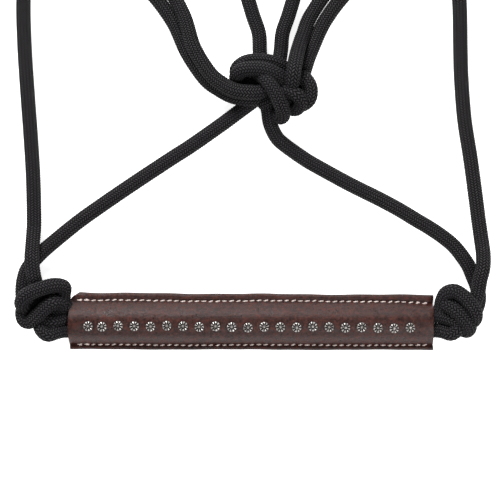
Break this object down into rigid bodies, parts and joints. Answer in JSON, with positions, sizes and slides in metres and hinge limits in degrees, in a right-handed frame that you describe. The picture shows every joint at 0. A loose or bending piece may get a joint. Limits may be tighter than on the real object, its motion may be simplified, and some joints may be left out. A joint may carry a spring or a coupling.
{
  "type": "rope halter",
  "caption": "Knotted rope halter with a studded, stitched leather noseband sleeve, fiador knot, lead loop, eye loop and doubled crown tail, laid flat.",
  "frame": {"origin": "on the underside of the noseband lining, at the middle of the sleeve", "axes": "+X along the nose strands to the right when seen from the leather front, +Y from the noseband towards the crown, +Z out of the leather front"},
  "size_m": [0.3127, 0.4661, 0.03],
  "materials": {
    "rope": "black braided cord, matt with a slight sheen on the yarns",
    "leather_front": "dark brown smooth bridle leather, soft sheen on the crown",
    "leather_lining": "brown lining leather, matt",
    "thread": "waxed cream thread",
    "stud": "antique silver rosettes with darkened recesses",
    "tip": "black whipping twine"
  },
  "bodies": {
    "noseband_core": {"nose_strand_upper": "rope", "nose_strand_lower": "rope", "side_knot_left": "rope", "side_knot_right": "rope"},
    "sleeve": {"noseband_front": "leather_front", "noseband_lining": "leather_lining", "thread_upper": "thread", "thread_lower": "thread", "stud_01": "stud", "stud_02": "stud", "stud_03": "stud", "stud_04": "stud", "stud_05": "stud", "stud_06": "stud", "stud_07": "stud", "stud_08": "stud", "stud_09": "stud", "stud_10": "stud", "stud_11": "stud", "stud_12": "stud", "stud_13": "stud", "stud_14": "stud", "stud_15": "stud", "stud_16": "stud", "stud_17": "stud", "stud_18": "stud", "stud_19": "stud", "stud_20": "stud", "stud_21": "stud"},
    "headpiece": {"cheek_rope_left": "rope", "cheek_rope_right": "rope", "chin_rope_left": "rope", "chin_rope_right": "rope", "fiador_knot": "rope", "throat_rope_left_inner": "rope", "throat_rope_left_outer": "rope", "throat_rope_right_inner": "rope", "throat_rope_right_outer": "rope", "cheek_knot_left": "rope", "cheek_knot_right": "rope"},
    "lead_loop_body": {"lead_loop": "rope"},
    "crown": {"eye_loop": "rope", "crown_strand_inner": "rope", "crown_strand_outer": "rope", "tail_tip_inner": "tip", "tail_tip_outer": "tip"}
  },
  "joints": [
    {"name": "sleeve_slide", "type": "slide", "parent": "noseband_core", "child": "sleeve", "axis": [1, 0, 0], "range_m": [0, 0.002]},
    {"name": "headpiece_fold", "type": "hinge", "parent": "noseband_core", "child": "headpiece", "pos_m": [0, 0.066, 0.0053], "axis": [1, 0, 0], "range_deg": [0, 70]},
    {"name": "lead_loop_swing", "type": "hinge", "parent": "headpiece", "child": "lead_loop_body", "pos_m": [0.0125, 0.188, 0.0053], "axis": [1, 0, 0], "range_deg": [0, 90]},
    {"name": "crown_fold", "type": "hinge", "parent": "headpiece", "child": "crown", "pos_m": [0, 0.3, 0.0053], "axis": [1, 0, 0], "range_deg": [0, 90]}
  ]
}
